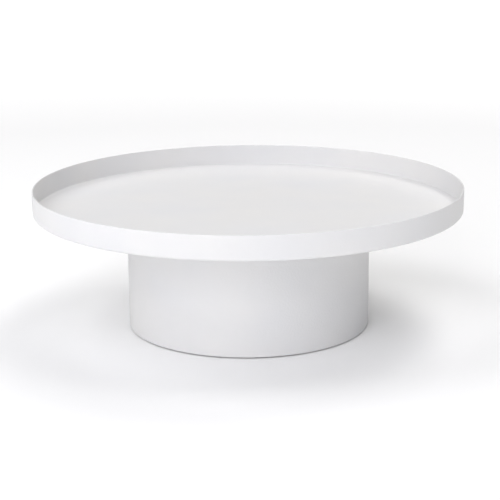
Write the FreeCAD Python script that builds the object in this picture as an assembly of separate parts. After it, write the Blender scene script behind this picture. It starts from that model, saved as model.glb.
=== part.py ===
import FreeCAD, Part

import math
import os

# A footed lazy susan: a rimmed tray of sheet steel that turns on a ring bearing, which is hidden in the top
# of a drum-shaped base. Sizes are in millimetres. The tray turns about Z, and the feet stand on the plane
# Z = 0. Every screw is driven from below, so the tray's floor and the drum's wall show no fixings.

# ---------------------------------------------------------------- overall sizes
tray_diameter = 352.0
drum_diameter = 200.0
lip_height = 117.5  # the tray's lip above the table
rim_height = 19.2  # the tray's lip above its own underside
shadow_gap = 2.0  # between the drum's top edge and the tray's underside
drum_lift = 1.0  # the drum's lower edge above the table

# ---------------------------------------------------------------- sheet metal
tray_sheet = 1.2
drum_sheet = 1.2
pressed_sheet = 1.5  # pan, top plate and base ring
base_plate_thickness = 4.0  # thick enough to weight the base
tray_corner = 1.2  # inside radius between the tray's floor and rim
press_bend = 1.5  # inside radius of the other bends
sheet_edge_round = 0.3  # deburred edges
weld_gap = 0.1  # between the drum's inner wall and the rings that are welded into it

# ---------------------------------------------------------------- tray pan
pan_side_gap = 6.8  # from the pan's flange to the drum's inner wall
pan_flange = 12.0
pan_tip_gap = 0.8  # from the tip of a screw to the tray's underside
pan_opening_radius = 22.0

# ---------------------------------------------------------------- ring bearing
ball_diameter = 5.0
ball_count = 24
ball_clearance = 0.1  # ball to raceway, and ball to its pocket in the cage
ball_circle_radius = 58.7
ring_gap = 1.6  # radial, between the two rings
ring_height = 8.0
ring_proud = 0.8  # the inner ring stands this much above the outer one
inner_ring_width = 13.9
outer_ring_width = 16.5
ring_edge_round = 0.4
cage_thickness = 0.8
cage_margin = 0.7  # above and below a pocket
loading_gap = 0.3  # radial, between a ball and the hole through which it is loaded
plug_fit_gap = 0.03
plug_socket_across = 2.5
plug_socket_depth = 3.0

# ---------------------------------------------------------------- drum top plate
top_plate_ledge = 1.0  # its opening is smaller than the outer ring's bore by this much
top_plate_skirt = 12.0

# ---------------------------------------------------------------- base
base_plate_recess = 6.0  # the plate's lower face above the drum's lower edge
base_plate_gap = 0.8  # around the plate
base_ring_flange = 16.8
base_ring_skirt = 13.0
base_ring_screw_inset = 9.8  # from the drum's inner wall to the plate's screws

# ---------------------------------------------------------------- feet
foot_count = 4
foot_top_radius = 12.0
foot_bottom_radius = 10.0
foot_edge_inset = 2.0  # from the plate's edge to a foot
foot_edge_round = 0.8
foot_recess_radius = 5.5
foot_head_gap = 0.5  # from the head of a foot's screw to the table
foot_start_angle = 45.0

# ---------------------------------------------------------------- screws, nuts and washers
screw_diameter = 4.0
screw_clearance = 0.25  # radial, in a plain hole
thread_gap = 0.05  # radial, in a tapped hole or a nut
button_head_diameter = 7.6
button_head_height = 2.2
countersunk_head_diameter = 7.5
countersunk_angle = 90.0
countersink_gap = 0.05  # between the cone of a head and its seat
socket_across = 2.5
socket_depth = 1.3
screw_tip_chamfer = 0.5
nut_across = 7.0
nut_height = 3.2
nut_corner_cut = 0.4
washer_diameter = 9.0
washer_thickness = 0.8
spring_washer_diameter = 7.6
spring_washer_thickness = 1.0
spring_washer_slit = 0.8
tip_past_nut = 1.3  # how far a screw stands out of its nut
inner_ring_screw_count = 4
outer_ring_screw_count = 4
outer_ring_start_angle = 45.0
outer_ring_thread = 5.5  # how far a screw goes into the ring
outer_ring_thread_spare = 0.8  # depth of its tapped hole beyond the screw's tip
base_plate_screw_count = 4
foot_screw_tip_gap = 0.3  # from the tip to the base plate's top

# ---------------------------------------------------------------- radii that follow
tray_radius = tray_diameter / 2
drum_radius = drum_diameter / 2
drum_bore = drum_radius - drum_sheet
pan_radius = drum_bore - pan_side_gap
pan_dish_radius = pan_radius - pan_flange
ball_radius = ball_diameter / 2
race_radius = ball_radius + ball_clearance
loading_hole_radius = ball_radius + loading_gap
inner_ring_outer = ball_circle_radius - ring_gap / 2
inner_ring_inner = inner_ring_outer - inner_ring_width
outer_ring_inner = ball_circle_radius + ring_gap / 2
outer_ring_outer = outer_ring_inner + outer_ring_width
inner_screw_circle = inner_ring_inner + (ball_circle_radius - race_radius - inner_ring_inner) / 2
outer_screw_circle = outer_ring_outer - (outer_ring_outer - ball_circle_radius - race_radius) / 2
top_plate_opening = outer_ring_inner - top_plate_ledge
base_plate_radius = drum_bore - base_plate_gap
base_screw_circle = drum_bore - base_ring_screw_inset
foot_circle = base_plate_radius - foot_edge_inset - foot_top_radius
welded_radius = drum_bore - weld_gap
screw_radius = screw_diameter / 2
plain_hole_radius = screw_radius + screw_clearance
tapped_hole_radius = screw_radius + thread_gap

# ---------------------------------------------------------------- heights that follow
tray_under = lip_height - rim_height
drum_bottom = drum_lift
drum_top = tray_under - shadow_gap
pan_bottom = tray_under - pan_tip_gap - tip_past_nut - nut_height - pressed_sheet
inner_ring_bottom = pan_bottom - ring_height
outer_ring_top = pan_bottom - ring_proud
outer_ring_bottom = outer_ring_top - ring_height
ball_plane = (inner_ring_bottom + outer_ring_top) / 2
top_plate_under = outer_ring_bottom - pressed_sheet
base_plate_bottom = drum_bottom + base_plate_recess
base_plate_top = base_plate_bottom + base_plate_thickness
base_ring_top = base_plate_top + pressed_sheet
foot_seat = foot_head_gap + button_head_height  # where a foot screw's head meets its washer
foot_recess_top = foot_seat + washer_thickness
inner_ring_screw_length = ring_height + pressed_sheet + nut_height + tip_past_nut
outer_ring_screw_length = spring_washer_thickness + pressed_sheet + outer_ring_thread
base_plate_screw_length = base_plate_thickness + pressed_sheet + nut_height + tip_past_nut
foot_screw_length = base_plate_top - foot_seat - foot_screw_tip_gap


def point(radius, height):
    """A point of a profile, in the XZ plane."""
    return FreeCAD.Vector(radius, 0, height)


def rounded_corner(last, corner, following, radius):
    """Where the arc of a rounded corner starts, its middle and its end. A radius of 0 leaves it sharp."""
    before = (last - corner).normalize()
    after = (following - corner).normalize()
    inward = (before + after).normalize()
    half_angle = before.getAngle(after) / 2
    start = corner + before * (radius / math.tan(half_angle))
    middle = corner + inward * (radius / math.sin(half_angle) - radius)
    end = corner + after * (radius / math.tan(half_angle))
    return start, middle, end


def profile(corners, radii):
    """The face inside a closed outline of straight runs, each corner rounded to its own radius."""
    lasts, nexts = corners[-1:] + corners[:-1], corners[1:] + corners[:1]
    rounds = [rounded_corner(*corner) for corner in zip(lasts, corners, nexts, radii)]
    edges = []
    for (start, middle, end), (next_start, *_), radius in zip(rounds, rounds[1:] + rounds[:1], radii):
        if radius > 0:
            edges.append(Part.Arc(start, middle, end).toShape())
        edges.append(Part.LineSegment(end, next_start).toShape())
    return Part.Face(Part.Wire(edges))


def turned(face):
    """The solid that a profile sweeps in a full turn about Z."""
    return face.revolve(FreeCAD.Vector(0, 0, 0), FreeCAD.Vector(0, 0, 1), 360)


def band(inner, outer, bottom, top, rounding):
    """A ring of rectangular section with rounded edges, or a disc if its inner radius is 0."""
    corners = [point(inner, bottom), point(outer, bottom), point(outer, top), point(inner, top)]
    inner_rounding = rounding if inner > 0 else 0
    return turned(profile(corners, [inner_rounding, rounding, rounding, inner_rounding]))


def bent_sheet(path, thickness, bend):
    """The section of a sheet whose one face follows the path, with the metal on the path's left side. Each
    bend has the inside radius given, free edges are deburred, and an end on the axis stays sharp."""
    runs = [(b - a).normalize() for a, b in zip(path, path[1:])]
    lefts = [FreeCAD.Vector(-run.z, 0, run.x) for run in runs]
    near, far, near_radii, far_radii = [], [], [], []
    for i, corner in enumerate(path):
        is_end = i in (0, len(path) - 1)
        if is_end:
            side = lefts[0] if i == 0 else lefts[-1]
            near_radius = far_radius = sheet_edge_round if corner.x > 0 else 0
            far.append(corner + side * thickness)
        else:
            side = lefts[i - 1] + lefts[i]
            far.append(corner + side * (thickness / (1 + lefts[i - 1].dot(lefts[i]))))
            turns_left = runs[i - 1].dot(lefts[i]) < 0
            near_radius = bend + thickness if turns_left else bend
            far_radius = bend if turns_left else bend + thickness
        near.append(corner)
        near_radii.append(near_radius)
        far_radii.append(far_radius)
    return profile(near + far[::-1], near_radii + far_radii[::-1])


def around(shape, count, start_angle=0.0):
    """Copies of a shape, evenly spaced about Z."""
    copies = []
    for i in range(count):
        copy = shape.copy()
        copy.rotate(FreeCAD.Vector(0, 0, 0), FreeCAD.Vector(0, 0, 1), start_angle + i * 360 / count)
        copies.append(copy)
    return copies


def rod(radius, length, bottom, circle=0.0):
    """An upright cylinder on a circle about Z, at angle 0."""
    return Part.makeCylinder(radius, length, FreeCAD.Vector(circle, 0, bottom))


def hexagon(across, length, bottom):
    """An upright hexagonal bar on the Z axis."""
    corner = Part.Vertex(across / math.sqrt(3), 0, bottom)
    corners = [copy.Point for copy in around(corner, 6)]
    return Part.Face(Part.makePolygon(corners + corners[:1])).extrude(FreeCAD.Vector(0, 0, length))


def shank(length):
    """A screw's threaded part, from Z = 0 up, with a chamfered tip and thread drawn plain."""
    straight = rod(screw_radius, length - screw_tip_chamfer, 0)
    tip = Part.makeCone(
        screw_radius,
        screw_radius - screw_tip_chamfer,
        screw_tip_chamfer,
        FreeCAD.Vector(0, 0, length - screw_tip_chamfer),
    )
    return straight.fuse(tip)


def button_screw(length):
    """A button-head socket screw that points up, with the bearing face of its head at Z = 0."""
    half = button_head_diameter / 2
    dome_radius = (half**2 + button_head_height**2) / (2 * button_head_height)
    dome = Part.makeSphere(dome_radius, FreeCAD.Vector(0, 0, dome_radius - button_head_height))
    head = dome.common(rod(half, button_head_height, -button_head_height))
    body = head.fuse(shank(length)).removeSplitter()
    return body.cut(hexagon(socket_across, socket_depth, -button_head_height))


def countersunk_cone(gap):
    """The cone of a countersunk head that points up, from its flat face at Z = 0, grown by a gap."""
    slope = math.tan(math.radians(countersunk_angle / 2))
    wide = countersunk_head_diameter / 2 + gap
    return Part.makeCone(wide, screw_radius, (wide - screw_radius) / slope)


def countersunk_screw(length):
    """A countersunk socket screw that points up, with the flat face of its head at Z = 0."""
    body = countersunk_cone(0).fuse(shank(length)).removeSplitter()
    return body.cut(hexagon(socket_across, socket_depth, 0))


def nut():
    """A hexagonal weld nut on Z = 0, its top corners turned off."""
    corner_radius = nut_across / math.sqrt(3)
    blank = hexagon(nut_across, nut_height, 0)
    low = rod(corner_radius, nut_height - nut_corner_cut, 0)
    high = Part.makeCone(
        corner_radius,
        corner_radius - 2 * nut_corner_cut,
        nut_corner_cut,
        FreeCAD.Vector(0, 0, nut_height - nut_corner_cut),
    )
    return blank.common(low.fuse(high)).cut(rod(tapped_hole_radius, nut_height, 0))


def placed(shape, circle, height):
    """A shape moved out to a circle about Z, at angle 0, and up."""
    moved = shape.copy()
    moved.translate(FreeCAD.Vector(circle, 0, height))
    return moved


# ---------------------------------------------------------------- turning body
def make_tray():
    """The tray: one pressing with a flat floor and an upright rim."""
    path = [point(0, tray_under), point(tray_radius, tray_under), point(tray_radius, lip_height)]
    return turned(bent_sheet(path, tray_sheet, tray_corner))


def make_tray_pan():
    """The pan welded under the tray: its flange meets the floor and its dish sits on the inner ring."""
    path = [
        point(pan_opening_radius, pan_bottom),
        point(pan_dish_radius, pan_bottom),
        point(pan_dish_radius, tray_under - pressed_sheet),
        point(pan_radius, tray_under - pressed_sheet),
    ]
    pan = turned(bent_sheet(path, pressed_sheet, press_bend))
    hole = rod(plain_hole_radius, pressed_sheet, pan_bottom, inner_screw_circle)
    return pan.cut(around(hole, inner_ring_screw_count))


def make_pan_nuts():
    """Weld nuts in the dish, for the screws that come up through the inner ring."""
    return around(placed(nut(), inner_screw_circle, pan_bottom + pressed_sheet), inner_ring_screw_count)


def raceway():
    """The space that the balls run in, with their clearance."""
    return Part.makeTorus(ball_circle_radius, race_radius, FreeCAD.Vector(0, 0, ball_plane))


def make_inner_ring():
    """The bearing's inner ring, which turns with the tray."""
    ring = band(inner_ring_inner, inner_ring_outer, inner_ring_bottom, pan_bottom, ring_edge_round)
    hole = rod(plain_hole_radius, ring_height, inner_ring_bottom, inner_screw_circle)
    seat = placed(countersunk_cone(countersink_gap), inner_screw_circle, inner_ring_bottom)
    return ring.cut([raceway()] + around(hole, inner_ring_screw_count) + around(seat, inner_ring_screw_count))


def make_inner_ring_screws():
    """Countersunk screws that hold the inner ring up against the pan."""
    screw = placed(countersunk_screw(inner_ring_screw_length), inner_screw_circle, inner_ring_bottom)
    return around(screw, inner_ring_screw_count)


# ---------------------------------------------------------------- ball cage
def make_ball_cage():
    """The strip that keeps the balls apart. Its pockets are drilled radially."""
    half_height = race_radius + cage_margin
    inner = ball_circle_radius - cage_thickness / 2
    strip = rod(inner + cage_thickness, 2 * half_height, ball_plane - half_height)
    strip = strip.cut(rod(inner, 2 * half_height, ball_plane - half_height))
    pocket = Part.makeCylinder(
        race_radius,
        2 * cage_thickness,
        FreeCAD.Vector(inner - cage_thickness / 2, 0, ball_plane),
        FreeCAD.Vector(1, 0, 0),
    )
    return strip.cut(around(pocket, ball_count))


def make_balls():
    """The balls, each in its pocket."""
    ball = Part.makeSphere(ball_radius, FreeCAD.Vector(ball_circle_radius, 0, ball_plane))
    return around(ball, ball_count)


# ---------------------------------------------------------------- base, upper end
def outer_ring_blank():
    """The outer ring before its raceway and holes are cut."""
    return band(outer_ring_inner, outer_ring_outer, outer_ring_bottom, outer_ring_top, ring_edge_round)


def loading_bar(radius):
    """A bar along the radial hole through which the balls are loaded."""
    return Part.makeCylinder(
        radius,
        outer_ring_outer - ball_circle_radius,
        FreeCAD.Vector(ball_circle_radius, 0, ball_plane),
        FreeCAD.Vector(1, 0, 0),
    )


def make_outer_ring():
    """The bearing's outer ring, tapped from below and fixed to the drum's top plate."""
    depth = outer_ring_thread + outer_ring_thread_spare
    hole = rod(tapped_hole_radius, depth, outer_ring_bottom, outer_screw_circle)
    holes = around(hole, outer_ring_screw_count, outer_ring_start_angle)
    return outer_ring_blank().cut([raceway(), loading_bar(loading_hole_radius)] + holes)


def make_ball_plug():
    """The plug that closes the loading hole. Its inner end carries on the raceway."""
    plug = loading_bar(loading_hole_radius - plug_fit_gap).common(outer_ring_blank()).cut(raceway())
    socket = hexagon(plug_socket_across, 2 * plug_socket_depth, -plug_socket_depth)
    socket.rotate(FreeCAD.Vector(0, 0, 0), FreeCAD.Vector(0, 1, 0), 90)
    socket.translate(FreeCAD.Vector(outer_ring_outer, 0, ball_plane))
    return plug.cut(socket)


def make_top_plate():
    """The plate welded inside the drum that carries the bearing, with its skirt turned down."""
    path = [
        point(welded_radius, outer_ring_bottom - top_plate_skirt),
        point(welded_radius, outer_ring_bottom),
        point(top_plate_opening, outer_ring_bottom),
    ]
    plate = turned(bent_sheet(path, pressed_sheet, press_bend))
    hole = rod(plain_hole_radius, pressed_sheet, top_plate_under, outer_screw_circle)
    return plate.cut(around(hole, outer_ring_screw_count, outer_ring_start_angle))


def make_outer_ring_screws():
    """Button-head screws that come up through the top plate into the outer ring."""
    height = top_plate_under - spring_washer_thickness
    screw = placed(button_screw(outer_ring_screw_length), outer_screw_circle, height)
    return around(screw, outer_ring_screw_count, outer_ring_start_angle)


def make_spring_washers():
    """Split washers under the heads of the outer ring's screws."""
    blank = rod(spring_washer_diameter / 2, spring_washer_thickness, 0)
    blank = blank.cut(rod(plain_hole_radius, spring_washer_thickness, 0))
    slit = Part.makeBox(
        spring_washer_diameter,
        spring_washer_slit,
        spring_washer_thickness,
        FreeCAD.Vector(0, -spring_washer_slit / 2, 0),
    )
    height = top_plate_under - spring_washer_thickness
    washer = placed(blank.cut(slit), outer_screw_circle, height)
    return around(washer, outer_ring_screw_count, outer_ring_start_angle)


# ---------------------------------------------------------------- base, drum and lower end
def make_drum():
    """The drum: sheet rolled to a cylinder and welded along one seam."""
    return band(drum_bore, drum_radius, drum_bottom, drum_top, sheet_edge_round)


def make_base_ring():
    """The angle ring welded inside the drum's lower end, which the base plate is screwed to."""
    path = [
        point(welded_radius - base_ring_flange, base_plate_top),
        point(welded_radius, base_plate_top),
        point(welded_radius, base_plate_top + base_ring_skirt),
    ]
    ring = turned(bent_sheet(path, pressed_sheet, press_bend))
    hole = rod(plain_hole_radius, pressed_sheet, base_plate_top, base_screw_circle)
    return ring.cut(around(hole, base_plate_screw_count))


def make_base_nuts():
    """Weld nuts on the base ring."""
    return around(placed(nut(), base_screw_circle, base_ring_top), base_plate_screw_count)


def make_base_plate():
    """The thick plate that closes and weights the base. The foot screws are tapped into it."""
    plate = band(0, base_plate_radius, base_plate_bottom, base_plate_top, sheet_edge_round)
    plain = rod(plain_hole_radius, base_plate_thickness, base_plate_bottom, base_screw_circle)
    tapped = rod(tapped_hole_radius, base_plate_thickness, base_plate_bottom, foot_circle)
    return plate.cut(around(plain, base_plate_screw_count) + around(tapped, foot_count, foot_start_angle))


def make_base_plate_screws():
    """Button-head screws that hold the base plate up against the base ring."""
    screw = placed(button_screw(base_plate_screw_length), base_screw_circle, base_plate_bottom)
    return around(screw, base_plate_screw_count)


def make_feet():
    """Moulded rubber feet, each with a recess that hides its screw."""
    corners = [
        point(foot_recess_radius, 0),
        point(foot_bottom_radius, 0),
        point(foot_top_radius, base_plate_bottom),
        point(plain_hole_radius, base_plate_bottom),
        point(plain_hole_radius, foot_recess_top),
        point(foot_recess_radius, foot_recess_top),
    ]
    foot = turned(profile(corners, [foot_edge_round, foot_edge_round, 0, 0, 0, 0]))
    return around(placed(foot, foot_circle, 0), foot_count, foot_start_angle)


def make_foot_washers():
    """Flat washers in the feet."""
    washer = rod(washer_diameter / 2, washer_thickness, foot_seat, foot_circle)
    washer = washer.cut(rod(plain_hole_radius, washer_thickness, foot_seat, foot_circle))
    return around(washer, foot_count, foot_start_angle)


def make_foot_screws():
    """Button-head screws that hold the feet to the base plate."""
    screw = placed(button_screw(foot_screw_length), foot_circle, foot_seat)
    return around(screw, foot_count, foot_start_angle)


def save(name, *solids):
    """Write one named sub-part, of one solid or several like ones."""
    shape = solids[0] if len(solids) == 1 else Part.makeCompound(list(solids))
    assert shape.isValid(), name + " is not a valid shape"
    shape.exportStep(os.path.join("parts", name + ".step"))


os.makedirs("parts", exist_ok=True)
save("tray", make_tray())
save("tray_pan", make_tray_pan())
save("pan_weld_nuts", *make_pan_nuts())
save("bearing_inner_ring", make_inner_ring())
save("inner_ring_screws", *make_inner_ring_screws())
save("ball_cage", make_ball_cage())
save("bearing_balls", *make_balls())
save("bearing_outer_ring", make_outer_ring())
save("ball_fill_plug", make_ball_plug())
save("outer_ring_screws", *make_outer_ring_screws())
save("outer_ring_spring_washers", *make_spring_washers())
save("drum_top_plate", make_top_plate())
save("drum_shell", make_drum())
save("base_ring", make_base_ring())
save("base_ring_weld_nuts", *make_base_nuts())
save("base_plate", make_base_plate())
save("base_plate_screws", *make_base_plate_screws())
for number, foot in enumerate(make_feet(), start=1):
    save("foot_%d" % number, foot)
save("foot_washers", *make_foot_washers())
save("foot_screws", *make_foot_screws())
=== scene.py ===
import math

import bmesh
import bpy
import numpy as np
from mathutils import Matrix, Vector


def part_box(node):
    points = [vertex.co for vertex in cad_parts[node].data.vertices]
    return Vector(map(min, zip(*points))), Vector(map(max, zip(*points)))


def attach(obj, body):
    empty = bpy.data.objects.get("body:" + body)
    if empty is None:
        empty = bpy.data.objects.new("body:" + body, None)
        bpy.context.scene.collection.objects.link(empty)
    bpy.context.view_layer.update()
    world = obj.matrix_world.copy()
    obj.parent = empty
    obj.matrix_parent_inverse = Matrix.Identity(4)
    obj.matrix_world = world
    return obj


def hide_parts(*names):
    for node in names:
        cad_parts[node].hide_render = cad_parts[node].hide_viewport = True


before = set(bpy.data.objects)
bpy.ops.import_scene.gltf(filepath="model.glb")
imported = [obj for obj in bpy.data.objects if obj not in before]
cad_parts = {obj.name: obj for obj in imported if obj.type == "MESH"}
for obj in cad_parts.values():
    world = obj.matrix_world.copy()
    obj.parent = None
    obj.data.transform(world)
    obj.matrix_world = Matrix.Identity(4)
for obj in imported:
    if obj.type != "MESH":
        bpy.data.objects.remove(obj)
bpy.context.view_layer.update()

# ---------------------------------------------------------------- camera
# A long lens a little over a metre away, looking slightly down on the tray and along +Y. The distance and the
# height angle are measured from the axis, half way between the drum's lower edge and the tray's lip.
camera_lens = 100.65
camera_sensor = 36.0
camera_distance = 1.1641
camera_height_angle = math.radians(14.763)
camera_tilt = math.radians(14.68)
camera_turn = math.radians(0.0655)
camera_roll = math.radians(-0.454)

tray_low, tray_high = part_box("tray")
drum_low, drum_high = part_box("drum_shell")
aim_height = (drum_low.z + tray_high.z) / 2
camera_data = bpy.data.cameras.new("camera")
camera_data.lens = camera_lens
camera_data.sensor_width = camera_sensor
camera = bpy.data.objects.new("camera", camera_data)
bpy.context.scene.collection.objects.link(camera)
camera.matrix_world = (
    Matrix.Translation(
        (
            0,
            -camera_distance * math.cos(camera_height_angle),
            aim_height + camera_distance * math.sin(camera_height_angle),
        )
    )
    @ Matrix.Rotation(-camera_turn, 4, "Z")
    @ Matrix.Rotation(math.pi / 2 - camera_tilt, 4, "X")
    @ Matrix.Rotation(camera_roll, 4, "Z")
)
bpy.context.scene.camera = camera


# ---------------------------------------------------------------- studio floor
# A broad sheet of white board that the object stands on, lit through from below like a light table: faintly
# under the object, so that a soft shadow lies round its feet, and brightly some metres from it, so that low
# views end in white.
floor_radius = 60.0
floor_turns = 96
floor_colour = "#FCFCFC"
floor_roughness = 0.9
floor_glow = (0.03, 1.0)
floor_glow_rise = (1.0, 4.0)


def linear(colour):
    """An sRGB hex colour as linear red, green, blue and alpha: each channel c is c / 12.92 where it is dark,
    and ((c + 0.055) / 1.055) ** 2.4 elsewhere."""
    channels = np.array([int(colour[i : i + 2], 16) for i in (1, 3, 5)]) / 255
    return (*np.where(channels <= 0.04045, channels / 12.92, ((channels + 0.055) / 1.055) ** 2.4), 1.0)


def add(tree, kind, sockets=None, **settings):
    """Adds one node. The sockets are its inputs, each by name or number, with a value or a node's output to
    link from, and the settings are the node's own properties."""
    added = tree.nodes.new(kind)
    for name, value in settings.items():
        setattr(added, name, value)
    for name, value in (sockets or {}).items():
        if isinstance(value, bpy.types.NodeSocket):
            tree.links.new(value, added.inputs[name])
        else:
            added.inputs[name].default_value = value
    return added


def finish_material(name):
    """A new material with an empty node tree and its output node."""
    made = bpy.data.materials.new(name)
    made.use_nodes = True
    made.node_tree.nodes.clear()
    return made, made.node_tree, add(made.node_tree, "ShaderNodeOutputMaterial")


merge_distance = 1e-7
crease_angle = math.radians(35)  # edges sharper than this stay crisp


def surface(name, points, closed_along):
    """A mesh from a grid of points, copy by row by column: each row is a closed ring of points, and rows
    follow each other along the piece. Each cell is a quad, the last row joins the first if the piece is
    closed along, and a row that lies in one point becomes a single vertex."""
    copies, rows, columns = points.shape[:3]
    copy = np.arange(copies)[:, None, None] * rows * columns
    row = np.arange(rows if closed_along else rows - 1)[None, :, None]
    column = np.arange(columns)[None, None, :]
    next_row, next_column = (row + 1) % rows, (column + 1) % columns
    corners = [(row, column), (row, next_column), (next_row, next_column), (next_row, column)]
    quads = np.stack([copy + i * columns + j for i, j in corners], axis=-1).reshape(-1, 4)
    mesh = bpy.data.meshes.new(name)
    mesh.from_pydata(points.reshape(-1, 3), [], quads.tolist())
    edited = bmesh.new()
    edited.from_mesh(mesh)
    bmesh.ops.remove_doubles(edited, verts=edited.verts, dist=merge_distance)
    edited.to_mesh(mesh)
    edited.free()
    mesh.shade_smooth()
    mesh.set_sharp_from_angle(angle=crease_angle)
    made = bpy.data.objects.new(name, mesh)
    bpy.context.scene.collection.objects.link(made)
    return made


def spread_round(across, along, heights, count, start):
    """Copies of a grid of points at even angles a round Z, from the start angle: x is
    across * cos a - along * sin a, and y is across * sin a + along * cos a."""
    angle = (start + np.arange(count) * 2 * np.pi / count)[:, None, None]
    x = across * np.cos(angle) - along * np.sin(angle)
    y = across * np.sin(angle) + along * np.cos(angle)
    return np.stack(np.broadcast_arrays(x, y, heights), axis=-1)


def turned(name, radii, heights, turns, circle=0.0, count=1, start=0.0):
    """A solid on an upright axis, or several round Z: row i at turn t is at radii_i * (cos t, sin t),
    heights_i from the solid's own axis, where radii holds one radius for each row, or one for each row and
    turn. The axis is moved out to a circle about Z, and copies follow from the start angle. Rows run outwards
    below and inwards above, so that faces point outwards, and are closed unless they start at 0."""
    turn = np.linspace(0, 2 * np.pi, turns, endpoint=False)
    radii = np.reshape(radii, (len(heights), -1))
    across, along = circle + radii * np.cos(turn), radii * np.sin(turn)
    points = spread_round(across, along, np.reshape(heights, (-1, 1)), count, start)
    return surface(name, points, radii[0, 0] > 0)


floor = turned("studio_floor", [0.0, floor_radius], [0.0, 0.0], floor_turns)
floor.data.flip_normals()
floor_material, tree, output = finish_material("white_light_table")
where = add(tree, "ShaderNodeTexCoord").outputs["Object"]
from_middle = add(tree, "ShaderNodeVectorMath", {0: where}, operation="LENGTH").outputs["Value"]
rise = {"Value": from_middle, "From Min": floor_glow_rise[0], "From Max": floor_glow_rise[1]}
glow = add(tree, "ShaderNodeMapRange", {**rise, "To Min": floor_glow[0], "To Max": floor_glow[1]})
board = add(
    tree,
    "ShaderNodeBsdfPrincipled",
    {
        "Base Color": linear(floor_colour),
        "Roughness": floor_roughness,
        "Emission Color": (1, 1, 1, 1),
        "Emission Strength": glow.outputs["Result"],
    },
)
tree.links.new(board.outputs[0], output.inputs["Surface"])
floor.data.materials.append(floor_material)


# ---------------------------------------------------------------- studio light
# Large soft boxes: one high on either side, two higher ones at the right and the back right, which the tray
# keeps off the drum, one low and close at the front left, and broad ones high at the front and the back. They
# leave the right of the drum in soft shade. Four more, turned away from the object, light the floor round it.
def soft_box(name, place, aim, size, power, colour):
    """A square area light at a place, turned to face another."""
    data = bpy.data.lights.new(name, "AREA")
    data.shape = "SQUARE"
    data.size = size
    data.energy = power
    data.color = colour
    box = bpy.data.objects.new(name, data)
    bpy.context.scene.collection.objects.link(box)
    box.location = place
    box.rotation_euler = (Vector(aim) - Vector(place)).to_track_quat("-Z", "Y").to_euler()


sky_strength = 0.15
floor_box_circle = 2.6
floor_box_height = 2.2
floor_box_aim_circle = 4.5
floor_box_size = 2.0
floor_box_power = 12.0
aim = (0.0, 0.0, aim_height)

# Each box's name, place, aim, side in metres, power in watts, and colour.
soft_boxes = [
    ("light_left", (-1.6, 0.0, 1.9), aim, 1.6, 21.0, (1.0, 0.998, 1.012)),
    ("light_right", (1.6, 0.0, 1.9), aim, 1.6, 5.2, (1.008, 1.0, 0.994)),
    ("light_high_right", (0.8, 0.0, 2.6), aim, 1.0, 11.0, (1.008, 1.0, 0.994)),
    ("light_back_right", (0.9, 1.2, 2.4), aim, 1.0, 15.0, (1.008, 1.0, 0.994)),
    ("light_front_left", (-0.79, -2.16, 0.85), aim, 1.4, 25.0, (0.988, 0.99, 1.026)),
    ("light_front", (0.0, -3.4, 3.4), aim, 3.0, 42.0, (0.98, 0.98, 1.04)),
    ("light_back", (0.0, 3.4, 3.4), aim, 3.0, 29.0, (1.004, 1.0, 0.99)),
]
for side, (x, y) in {"back": (0, 1), "front": (0, -1), "left": (-1, 0), "right": (1, 0)}.items():
    place_above = (x * floor_box_circle, y * floor_box_circle, floor_box_height)
    place_below = (x * floor_box_aim_circle, y * floor_box_aim_circle, 0.0)
    floor_box = ("light_floor_" + side, place_above, place_below, floor_box_size, floor_box_power, (1, 1, 1))
    soft_boxes.append(floor_box)
for light in soft_boxes:
    soft_box(*light)
bpy.context.scene.world = bpy.data.worlds.new("studio_air")
bpy.context.scene.world.use_nodes = True
sky = bpy.context.scene.world.node_tree.nodes["Background"]
sky.inputs["Color"].default_value = (1, 1, 1, 1)
sky.inputs["Strength"].default_value = sky_strength
bpy.context.scene.view_settings.view_transform = "Standard"


# ---------------------------------------------------------------- tray
# One pressing of 1.2 mm sheet steel: a flat floor and an upright rim, bent round a small radius, with a
# deburred lip. It is coated in the same white powder as the drum, which leaves every edge slightly rounder.
tray_sheet = 0.0012
tray_corner = 0.0012
lip_round = 0.00058
tray_turns = 384
tray_step = 0.012
corner_steps = 8


def rounded_outline(corners, radii):
    """An outline of straight runs from corner to corner, each corner replaced by an arc of its own radius:
    the arc starts and ends radius / tan(half the corner's angle) from the corner, about the centre that lies
    on the angle's bisector. A radius of 0 leaves the corner sharp."""
    corners = np.array(corners, float)
    backs, aheads = np.roll(corners, 1, axis=0) - corners, np.roll(corners, -1, axis=0) - corners
    points = []
    for corner, back, ahead, radius in zip(corners, backs, aheads, radii):
        if radius == 0:
            points.append(corner[None])
            continue
        back, ahead = back / np.linalg.norm(back), ahead / np.linalg.norm(ahead)
        half_angle = math.acos(np.clip(back @ ahead, -1, 1)) / 2
        centre = corner + (back + ahead) / np.linalg.norm(back + ahead) * radius / math.sin(half_angle)
        start = corner + back * radius / math.tan(half_angle) - centre
        end = corner + ahead * radius / math.tan(half_angle) - centre
        share = np.linspace(0, 1, corner_steps + 1)[:, None]
        sweep = math.pi - 2 * half_angle
        arc = (np.sin((1 - share) * sweep) * start + np.sin(share * sweep) * end) / math.sin(sweep)
        points.append(centre + arc)
    return np.concatenate(points)


def divided(outline, longest):
    """An outline with points added on its runs, evenly: each run is divided into as many parts as its length
    holds the longest one, rounded up."""
    steps = np.linalg.norm(np.diff(outline, axis=0), axis=1) / longest
    pieces = [
        np.linspace(start, end, math.ceil(max(count, 1)), endpoint=False)
        for start, end, count in zip(outline[:-1], outline[1:], steps)
    ]
    return np.concatenate(pieces + [outline[-1:]])


def place(piece, body, slot, material, *nodes):
    """Gives a finished piece its material, lets it stand for CAD nodes, and ties it to the body that it moves
    with. The slot is not used."""
    piece.data.materials.clear()
    piece.data.materials.append(material)
    if nodes:
        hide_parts(*nodes)
    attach(piece, body)


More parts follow.
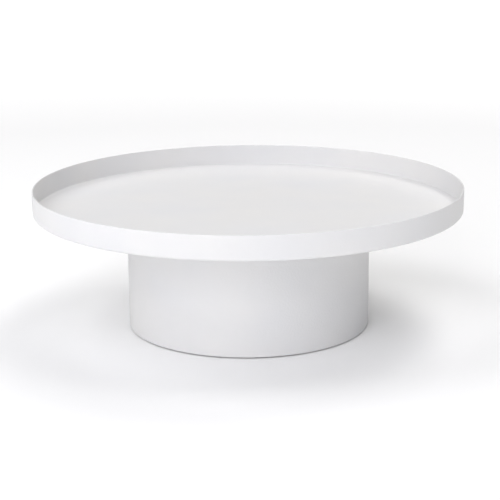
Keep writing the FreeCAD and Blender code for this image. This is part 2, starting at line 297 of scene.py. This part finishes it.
tray_radius = tray_high.x
tray_floor = tray_low.z + tray_sheet
tray_outline = rounded_outline(
    [
        (0.0, tray_low.z),
        (tray_radius, tray_low.z),
        (tray_radius, tray_high.z),
        (tray_radius - tray_sheet, tray_high.z),
        (tray_radius - tray_sheet, tray_floor),
        (0.0, tray_floor),
    ],
    [0, tray_corner + tray_sheet, lip_round, lip_round, tray_corner, 0],
)
tray = turned("tray_pressing", *divided(tray_outline, tray_step).T, tray_turns)

# White polyester powder, sprayed on and baked at about 180 degrees: matt, dead even to the eye, and under a
# raking light faintly pebbled like orange peel, where the powder has flowed out. The pebbles are about 1.5 mm
# across and about a hundredth of a millimetre high, with a finer grain of unmelted powder between them. Both
# are drawn a few times as high as they are, so that they show. The film is thinner or thicker from place to
# place, which shifts its white and its gloss by a hair.
powder_colours = ("#E5E4E3", "#E1E1E2")
powder_ior = 1.5
peel_width = 0.0016
peel_height = 0.0001
grain_width = 0.0005
grain_height = 0.00004
film_patch = 0.07
powder_roughness = (0.46, 0.56)
noise_middle = (0.3, 0.7)
patch_detail = 2.0
grain_detail = 1.0


def drifting(tree, where, width, low, high):
    """A value that drifts between two others, in patches about as wide as given: the middle two fifths of a
    noise pattern's range, stretched to run from the one to the other."""
    patches = add(tree, "ShaderNodeTexNoise", {"Vector": where, "Scale": 1 / width, "Detail": patch_detail})
    middle = {"Value": patches.outputs["Fac"], "From Min": noise_middle[0], "From Max": noise_middle[1]}
    return add(tree, "ShaderNodeMapRange", {**middle, "To Min": low, "To Max": high}).outputs["Result"]


def grained(tree, where, width, height, below=None):
    """A grain about as wide and as high as given: noise that raises the surface, over the grain below it."""
    grain = add(tree, "ShaderNodeTexNoise", {"Vector": where, "Scale": 1 / width, "Detail": grain_detail})
    sockets = {"Height": grain.outputs["Fac"], "Distance": height, "Strength": 1.0}
    if below is not None:
        sockets["Normal"] = below
    return add(tree, "ShaderNodeBump", sockets).outputs["Normal"]


def shaded(name, colours, patch, roughness, grains, **sockets):
    """A material on one principled shader: its colour and its roughness drift between two values in patches,
    and its skin carries one or more grains, each a width and a height."""
    made, tree, output = finish_material(name)
    where = add(tree, "ShaderNodeTexCoord").outputs["Object"]
    ends = {"Factor": drifting(tree, where, patch, 0, 1), "A": linear(colours[0]), "B": linear(colours[1])}
    skin = None
    for width, height in grains:
        skin = grained(tree, where, width, height, skin)
    shader = {
        "Base Color": add(tree, "ShaderNodeMix", ends, data_type="RGBA").outputs[2],
        "Roughness": drifting(tree, where, patch, *roughness),
        "Normal": skin,
    }
    for socket_name, value in sockets.items():
        shader[socket_name.replace("_", " ")] = value
    tree.links.new(add(tree, "ShaderNodeBsdfPrincipled", shader).outputs[0], output.inputs["Surface"])
    return made


powder = shaded(
    "white_polyester_powder_coat",
    powder_colours,
    film_patch,
    powder_roughness,
    [(peel_width, peel_height), (grain_width, grain_height)],
    IOR=powder_ior,
)
place(tray, "turntable", "powder_coated_steel", powder, "tray")


# ---------------------------------------------------------------- drum
# Sheet steel 1.2 mm thick, rolled to a cylinder and welded along one upright seam at the back. The seam is
# ground flush before the powder goes on, so that only a trace of it is left.
drum_sheet = 0.0012
drum_edge = 0.0004
seam_height = 0.00008
seam_width = 0.003
seam_turn = math.pi / 2
drum_turns = 512

drum_radius = drum_high.x
drum_outline = rounded_outline(
    [
        (drum_radius - drum_sheet, drum_low.z),
        (drum_radius, drum_low.z),
        (drum_radius, drum_high.z),
        (drum_radius - drum_sheet, drum_high.z),
    ],
    [drum_edge] * 4,
)
drum = turned("drum_wall", *divided(drum_outline, tray_step).T, drum_turns)


def seamed(piece, turn, height, width):
    """Raises a smooth ridge along an upright line of a drum: a point moves outwards by
    height * exp(-(s / width) ** 2), where s is its distance round the drum from the line."""
    points = np.zeros(len(piece.data.vertices) * 3)
    piece.data.vertices.foreach_get("co", points)
    points = points.reshape(-1, 3)
    radius = np.hypot(points[:, 0], points[:, 1])
    off = (np.arctan2(points[:, 1], points[:, 0]) - turn + np.pi) % (2 * np.pi) - np.pi
    outer = radius > drum_radius - drum_sheet / 2
    points[:, :2] *= (1 + outer * height * np.exp(-((off * radius / width) ** 2)) / radius)[:, None]
    piece.data.vertices.foreach_set("co", points.ravel())


seamed(drum, seam_turn, seam_height, seam_width)
place(drum, "base", "powder_coated_steel", powder, "drum_shell")


# ---------------------------------------------------------------- welded and pressed pieces inside
# The pan that carries the tray, the plate that carries the bearing, the ring in the drum's foot and the thick
# plate that closes it are all pressed or cut from sheet steel and powder coated with what they are welded to.
for name in ("tray_pan", "drum_top_plate", "base_ring", "base_plate"):
    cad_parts[name].data.materials.clear()
    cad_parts[name].data.materials.append(powder)


# ---------------------------------------------------------------- screws
# Steel socket screws, cold headed and rolled, then plated with bright zinc: button heads for the base plate,
# the feet and the bearing's outer ring, and countersunk ones for its inner ring. Threads are metric coarse.
screw_turns = 48
screw_radius = 0.002
thread_pitch = 0.0007
thread_depth = 0.0004
thread_slope = 1.35
thread_crest = 0.15
thread_steps = 8
thread_run_out = 0.0012
tip_chamfer = 0.0005
socket_across = 0.0025
socket_depth = 0.0013
socket_point = 0.0002
socket_chamfer = 0.00015
button_radius = 0.0038
button_height = 0.0022
button_edge = 0.00012
button_dome_steps = 12
countersunk_radius = 0.00375
fasteners = 4


def hexagon(across, turns):
    """The radius of a hexagonal bar at each turn, from half its width across the flats: that half-width over
    the cosine of the angle to the nearest flat's middle. Its corners are at 0, 60 degrees and so on."""
    turn = np.linspace(0, 2 * np.pi, turns, endpoint=False)
    return across / 2 / np.cos(turn % (np.pi / 3) - np.pi / 6)


def socket(face):
    """A hexagonal socket in a downward face: rows from the point of its shallow conical floor down its walls
    to its mouth, where a chamfer widens it."""
    hexed = hexagon(socket_across, screw_turns)
    heights = [face + socket_depth + socket_point, face + socket_depth, face + socket_chamfer, face]
    return np.stack([0 * hexed, hexed, hexed, hexed + socket_chamfer]), np.array(heights)


def threaded(low, high):
    """A rolled thread from one height to another: the radius at height z and turn t is the screw's, less the
    thread's depth times a wave that goes evenly from 0 at the crest to 1 at the root and back with
    z / pitch - t / 360 degrees, steepened so that crest and root are flat. The depth fades in over the
    run-out, and a cone turns off the tip."""
    rows = np.linspace(low, high, round((high - low) / thread_pitch * thread_steps))
    turn = np.linspace(0, 1, screw_turns, endpoint=False)
    wave = np.abs(2 * ((rows[:, None] / thread_pitch - turn) % 1) - 1)
    wave = np.clip(thread_slope * wave - thread_crest, 0, 1)
    depth = thread_depth * np.clip((rows[:, None] - low) / thread_run_out, 0, 1)
    radii = np.minimum(screw_radius - depth * wave, screw_radius - tip_chamfer + (high - rows[:, None]))
    return np.vstack([radii, np.zeros(screw_turns)]), np.append(rows, high)


def lathe_rows(outline):
    """The rows of an outline's (radius, height) points, all the way round."""
    return np.repeat(outline[:, :1], screw_turns, axis=1), outline[:, 1]


def button_screw(under, tip):
    """A button-head screw that points up: the socket, a dome that bulges down from the rim of the head, on a
    ball of radius (rim ** 2 + height ** 2) / (2 * height), the flat bearing face at a given height, and the
    thread up to the tip."""
    face = under - button_height
    ball = (button_radius**2 + button_height**2) / (2 * button_height)
    mouth = hexagon(socket_across, screw_turns)[0] + socket_chamfer
    dome = np.linspace(mouth, button_radius, button_dome_steps)
    heights = face + ball - np.sqrt(ball**2 - dome**2)
    rim = [(button_radius, under - button_edge), (button_radius - button_edge, under), (screw_radius, under)]
    outline = np.vstack([np.stack([dome, np.minimum(heights, under - button_edge)], axis=1), rim])
    return [np.concatenate(rows) for rows in zip(socket(face), lathe_rows(outline), threaded(under, tip))]


def countersunk_screw(face, tip):
    """A countersunk screw that points up: the socket, the flat face, a cone at 45 degrees down to the shank,
    and the thread up to the tip."""
    cone_end = face + countersunk_radius - screw_radius
    outline = [(countersunk_radius - button_edge, face), (countersunk_radius, face + button_edge / 2)]
    head = lathe_rows(np.array([*outline, (screw_radius, cone_end)]))
    return [np.concatenate(rows) for rows in zip(socket(face), head, threaded(cone_end, tip))]


# Bright zinc with a clear passivate: silvery, with a faint blue and straw cast that drifts over the surface,
# and the fine grain of the plating.
zinc_colours = ("#C6CAD2", "#D0CDC2")
zinc_patch = 0.003
zinc_roughness = (0.22, 0.38)
zinc_grain = (0.0005, 0.000006)

zinc = shaded("bright_zinc_plating", zinc_colours, zinc_patch, zinc_roughness, [zinc_grain], Metallic=1.0)

screw_groups = [
    ("base_plate_screws", "base", button_screw, button_radius, 0.0),
    ("foot_screws", "base", button_screw, button_radius, math.pi / 4),
    ("outer_ring_screws", "base", button_screw, button_radius, math.pi / 4),
    ("inner_ring_screws", "turntable", countersunk_screw, countersunk_radius, 0.0),
]
for node, body, shape, head_radius, start in screw_groups:
    low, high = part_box(node)
    head_seat = low.z + (button_height if shape is button_screw else 0)
    circle = (high.x - head_radius) / math.cos(start)
    screws = turned(node + "_plated", *shape(head_seat, high.z), screw_turns, circle, fasteners, start)
    place(screws, body, "zinc_plated_steel", zinc, node)


# ---------------------------------------------------------------- weld nuts
# Hexagonal steel nuts, cold formed, with their corners turned off above and the bore chamfered at both ends.
# They are welded to the pan and to the base ring, and then plated like the screws.
nut_across = 0.007
nut_bore = 0.00205
nut_bore_chamfer = 0.0003
nut_turns = 48
nut_crown = 0.0004
nut_crown_slope = 2
nut_crown_steps = 5

for node, body in (("pan_weld_nuts", "turntable"), ("base_ring_weld_nuts", "base")):
    low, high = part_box(node)
    corner = nut_across / math.sqrt(3)
    hexed = hexagon(nut_across, nut_turns)
    round_row = np.ones(nut_turns)
    rows = [
        (round_row * (nut_bore + nut_bore_chamfer), low.z),
        (hexed - nut_bore_chamfer / 2, low.z),
        (hexed, low.z + nut_bore_chamfer / 2),
    ]
    for drop in np.linspace(nut_crown, 0, nut_crown_steps):
        rows.append((np.minimum(hexed, corner - nut_crown_slope * (nut_crown - drop)), high.z - drop))
    rows.append((round_row * (nut_bore + nut_bore_chamfer), high.z))
    rows.append((round_row * nut_bore, high.z - nut_bore_chamfer))
    rows.append((round_row * nut_bore, low.z + nut_bore_chamfer))
    radii, heights = zip(*rows)
    nuts = turned(node + "_plated", np.stack(radii), heights, nut_turns, high.x - corner, fasteners)
    place(nuts, body, "zinc_plated_steel", zinc, node)


# ---------------------------------------------------------------- washers
# Stamped flat washers in the feet, and split spring washers of square section under the heads of the screws
# that hold the bearing. Tightened, a spring washer lies almost flat, and its cut ends stay a little apart.
washer_hole = 0.00225
washer_edge = 0.0001
washer_turns = 64
split_gap = 0.0008
split_steps = 60

low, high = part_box("foot_washers")
foot_low, foot_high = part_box("foot_1")
foot_circle = math.hypot(foot_low.x + foot_high.x, foot_low.y + foot_high.y) / 2
washer_radius = high.x - foot_circle * math.cos(math.pi / 4)
washer_outline = rounded_outline(
    [(washer_hole, low.z), (washer_radius, low.z), (washer_radius, high.z), (washer_hole, high.z)],
    [washer_edge, 2 * washer_edge, washer_edge, washer_edge],
)
washer_rows = (*washer_outline.T, washer_turns)
washers = turned("foot_washers_plated", *washer_rows, foot_circle, fasteners, math.pi / 4)
place(washers, "base", "zinc_plated_steel", zinc, "foot_washers")

low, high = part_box("outer_ring_spring_washers")
ring_screw_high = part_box("outer_ring_screws")[1]
circle = (ring_screw_high.x - button_radius) / math.cos(math.pi / 4)
spring_radius = high.x - circle * math.cos(math.pi / 4)
section = rounded_outline(
    [(washer_hole, low.z), (spring_radius, low.z), (spring_radius, high.z), (washer_hole, high.z)],
    [washer_edge] * 4,
)

# The section is swept round the washer from one side of the cut to the other, and drawn together to a point
# in the middle of each cut end, which closes it.
half_cut = split_gap / (washer_hole + spring_radius)
path = np.linspace(half_cut, 2 * np.pi - half_cut, split_steps)[:, None]
section = np.broadcast_to(section, (split_steps, *section.shape))
ends = np.broadcast_to(section.mean(axis=1, keepdims=True), section.shape)
section = np.concatenate([ends[:1], section[:1], section, section[-1:], ends[-1:]])
path = np.concatenate([path[:1], path[:1], path, path[-1:], path[-1:]])
across, along = circle + section[..., 0] * np.cos(path), section[..., 0] * np.sin(path)
points = spread_round(across, along, section[..., 1], fasteners, math.pi / 4)
spring_washers = surface("spring_washers_plated", points[:, :, ::-1], False)
place(spring_washers, "base", "zinc_plated_steel", zinc, "outer_ring_spring_washers")


# ---------------------------------------------------------------- balls
# Twenty-four bearing balls of hardened chrome steel, which roll in the grooves of the two rings, each in its
# own pocket of the cage. They are ground and lapped: mirror bright under a trace of grease.
ball_turns = 32
ball_rows = 17
ball_count = 24
ball_colours = ("#C2C3C5", "#BDBEC2")
ball_smear = 0.0015
ball_roughness = (0.05, 0.14)
ball_grain = 0.0006
ball_grain_height = 0.0000005

low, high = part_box("bearing_balls")
ball_radius = (high.z - low.z) / 2
rise = np.linspace(0, np.pi, ball_rows)
ball_circle = high.x - ball_radius
ball_plane = (low.z + high.z) / 2
ball_heights = ball_plane - ball_radius * np.cos(rise)
ball_radii = ball_radius * np.sin(rise) * (np.arange(ball_rows) % (ball_rows - 1) > 0)
balls = turned("balls_lapped", ball_radii, ball_heights, ball_turns, ball_circle, ball_count)
chrome_steel = shaded(
    "lapped_chrome_steel",
    ball_colours,
    ball_smear,
    ball_roughness,
    [(ball_grain, ball_grain_height)],
    Metallic=1.0,
)
place(balls, "ball_set", "bearing_steel", chrome_steel, "bearing_balls")


# ---------------------------------------------------------------- bearing rings and plug
# Both rings are turned from aluminium, each with half of the groove that the balls roll in, then drilled and
# clear anodised, which keeps the fine lines of the tool. A plug of the same closes the hole for the balls.
ring_turns = 256
ring_edge = 0.0004
inner_ring_width = 0.0139
outer_ring_width = 0.0165
race_clearance = 0.0001
race_steps = 24
drill_turns = 48
drill_reach = 0.001
clear_hole = 0.00225
countersink = 0.0038
tapped_hole = 0.00205
tapped_depth = 0.0063
loading_hole = 0.0028


def race(side, face):
    """The ball groove in a ring's upright face, from below to above: an arc about a ball's middle, with
    radius ball circle + side * race radius * cos a and height ball plane + race radius * sin a, where side is
    -1 for the inner ring and 1 for the outer one."""
    radius = ball_radius + race_clearance
    end = math.acos(abs(face - ball_circle) / radius)
    angle = np.linspace(-end, end, race_steps)
    groove = [ball_circle + side * radius * np.cos(angle), ball_plane + radius * np.sin(angle)]
    return np.stack(groove, axis=1)


def drilled(piece, *drills):
    """Cuts closed solids out of a piece and removes them."""
    for drill in drills:
        cut = piece.modifiers.new("drill", "BOOLEAN")
        cut.operation = "DIFFERENCE"
        cut.solver = "EXACT"
        cut.object = drill
    bpy.context.view_layer.update()
    cut_piece = piece.evaluated_get(bpy.context.evaluated_depsgraph_get())
    mesh = bpy.data.meshes.new_from_object(cut_piece)
    piece.modifiers.clear()
    piece.data = mesh
    mesh.set_sharp_from_angle(angle=crease_angle)
    for drill in drills:
        bpy.data.objects.remove(drill)


low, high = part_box("bearing_inner_ring")
inner_bore, inner_face = high.x - inner_ring_width, high.x
outline = rounded_outline(
    [
        (inner_bore, low.z),
        (inner_face, low.z),
        *race(-1, inner_face),
        (inner_face, high.z),
        (inner_bore, high.z),
    ],
    [ring_edge, ring_edge] + [0] * race_steps + [ring_edge, ring_edge],
)
inner_ring = turned("inner_ring_turned", *outline.T, ring_turns)
inner_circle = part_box("inner_ring_screws")[1].x - countersunk_radius
cone = countersink - clear_hole
drill = turned(
    "countersink_drill",
    [0, countersink + drill_reach, clear_hole, clear_hole, 0],
    [low.z - drill_reach, low.z - drill_reach, low.z + cone, high.z + drill_reach, high.z + drill_reach],
    drill_turns,
    inner_circle,
    fasteners,
)
drilled(inner_ring, drill)

low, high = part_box("bearing_outer_ring")
outer_bore = high.x - outer_ring_width
outline = rounded_outline(
    [
        (outer_bore, low.z),
        (high.x, low.z),
        (high.x, high.z),
        (outer_bore, high.z),
        *race(1, outer_bore)[::-1],
    ],
    [ring_edge] * 4 + [0] * race_steps,
)
outer_ring = turned("outer_ring_turned", *outline.T, ring_turns)
outer_circle = (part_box("outer_ring_screws")[1].x - button_radius) / math.cos(math.pi / 4)
tap_drill = turned(
    "tap_drill",
    [0, tapped_hole, tapped_hole, 0],
    [low.z - drill_reach, low.z - drill_reach, low.z + tapped_depth, low.z + tapped_depth],
    drill_turns,
    outer_circle,
    fasteners,
    math.pi / 4,
)
loading_drill = turned(
    "loading_drill",
    [0, loading_hole, loading_hole, 0],
    [ball_circle, ball_circle, high.x + drill_reach, high.x + drill_reach],
    drill_turns,
)
loading_drill.data.transform(Matrix.Translation((0, 0, ball_plane)) @ Matrix.Rotation(math.pi / 2, 4, "Y"))
drilled(outer_ring, tap_drill, loading_drill)

# Clear anodised aluminium: a pale grey metal, satin, with rings of slightly different gloss round its axis
# and the spiral of the turning tool across them, drawn about four times as coarse as it is, so that it shows.
tool_mark = 0.0003
tool_mark_height = 0.000008
tool_band = 0.0014
anodised_colour = "#C9CBCD"
anodised_roughness = (0.3, 0.42)
anodised_anisotropy = 0.5

anodised, tree, output = finish_material("turned_anodised_aluminium")
where = add(tree, "ShaderNodeTexCoord").outputs["Object"]
flat = add(tree, "ShaderNodeVectorMath", {0: where, 1: (1, 1, 0)}, operation="MULTIPLY").outputs["Vector"]
from_axis = add(tree, "ShaderNodeVectorMath", {0: flat}, operation="LENGTH").outputs["Value"]
height = add(tree, "ShaderNodeSeparateXYZ", {"Vector": where}).outputs["Z"]
lathe = add(tree, "ShaderNodeCombineXYZ", {"X": from_axis, "Z": height}).outputs["Vector"]
oxide = add(
    tree,
    "ShaderNodeBsdfPrincipled",
    {
        "Base Color": linear(anodised_colour),
        "Metallic": 1.0,
        "Roughness": drifting(tree, lathe, tool_band, *anodised_roughness),
        "Anisotropic": anodised_anisotropy,
        "Normal": grained(tree, lathe, tool_mark, tool_mark_height),
    },
)
tree.links.new(oxide.outputs[0], output.inputs["Surface"])

place(inner_ring, "turntable", "anodised_aluminium", anodised, "bearing_inner_ring")
place(outer_ring, "base", "anodised_aluminium", anodised, "bearing_outer_ring")
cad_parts["ball_fill_plug"].data.materials.clear()
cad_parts["ball_fill_plug"].data.materials.append(anodised)


# ---------------------------------------------------------------- ball cage
# A strip of natural nylon, bent to a ring, with a pocket drilled for each ball, which keeps the balls apart.
# The nylon is slightly waxy and translucent, and yellower where it is thick.
nylon_colours = ("#E9E5D8", "#E4DFD0")
nylon_ior = 1.53
nylon_glow = 0.2
nylon_glow_depth = (0.002, 0.002, 0.0018)
nylon_patch = 0.003
nylon_roughness = (0.38, 0.5)
nylon_grain = 0.0006
nylon_grain_height = 0.000008

nylon = shaded(
    "natural_nylon",
    nylon_colours,
    nylon_patch,
    nylon_roughness,
    [(nylon_grain, nylon_grain_height)],
    IOR=nylon_ior,
    Subsurface_Weight=nylon_glow,
    Subsurface_Radius=nylon_glow_depth,
)
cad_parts["ball_cage"].data.materials.clear()
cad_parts["ball_cage"].data.materials.append(nylon)


# ---------------------------------------------------------------- feet
# Tapered feet of black rubber, moulded with a recess that hides the screw and a groove in the face they stand
# on. Each is held by its screw and washer. Rubber leaves the mould matt, with a faint grey bloom in patches.
foot_count = 4
foot_bottom = 0.010
foot_recess = 0.0055
foot_edge = 0.0008
foot_top_edge = 0.0003
foot_recess_edge = 0.0004
foot_recess_corner = 0.0002
groove_depth = 0.0004
groove_width = 0.0008
groove_edge = 0.0001
foot_turns = 96
rubber_colours = ("#2B2B2C", "#363635")
rubber_ior = 1.52
rubber_bloom = 0.005
rubber_roughness = (0.62, 0.75)
rubber_grain = 0.0007
rubber_grain_height = 0.00002

rubber = shaded(
    "moulded_black_rubber",
    rubber_colours,
    rubber_bloom,
    rubber_roughness,
    [(rubber_grain, rubber_grain_height)],
    IOR=rubber_ior,
)

recess_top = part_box("foot_washers")[1].z
groove = (foot_recess + foot_bottom) / 2
foot_radii = [foot_recess_edge, *[groove_edge] * 4, foot_edge, foot_top_edge, 0, 0, foot_recess_corner]
for number in range(1, foot_count + 1):
    low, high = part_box("foot_%d" % number)
    middle = (low + high) / 2
    outline = rounded_outline(
        [
            (foot_recess, low.z),
            (groove - groove_width / 2, low.z),
            (groove - groove_width / 4, low.z + groove_depth),
            (groove + groove_width / 4, low.z + groove_depth),
            (groove + groove_width / 2, low.z),
            (foot_bottom, low.z),
            ((high.x - low.x) / 2, high.z),
            (washer_hole, high.z),
            (washer_hole, recess_top),
            (foot_recess, recess_top),
        ],
        foot_radii,
    )
    foot = turned(
        "foot_%d_moulded" % number,
        *outline.T,
        foot_turns,
        math.hypot(middle.x, middle.y),
        1,
        math.atan2(middle.y, middle.x),
    )
    place(foot, "base", "rubber_feet", rubber, "foot_%d" % number)
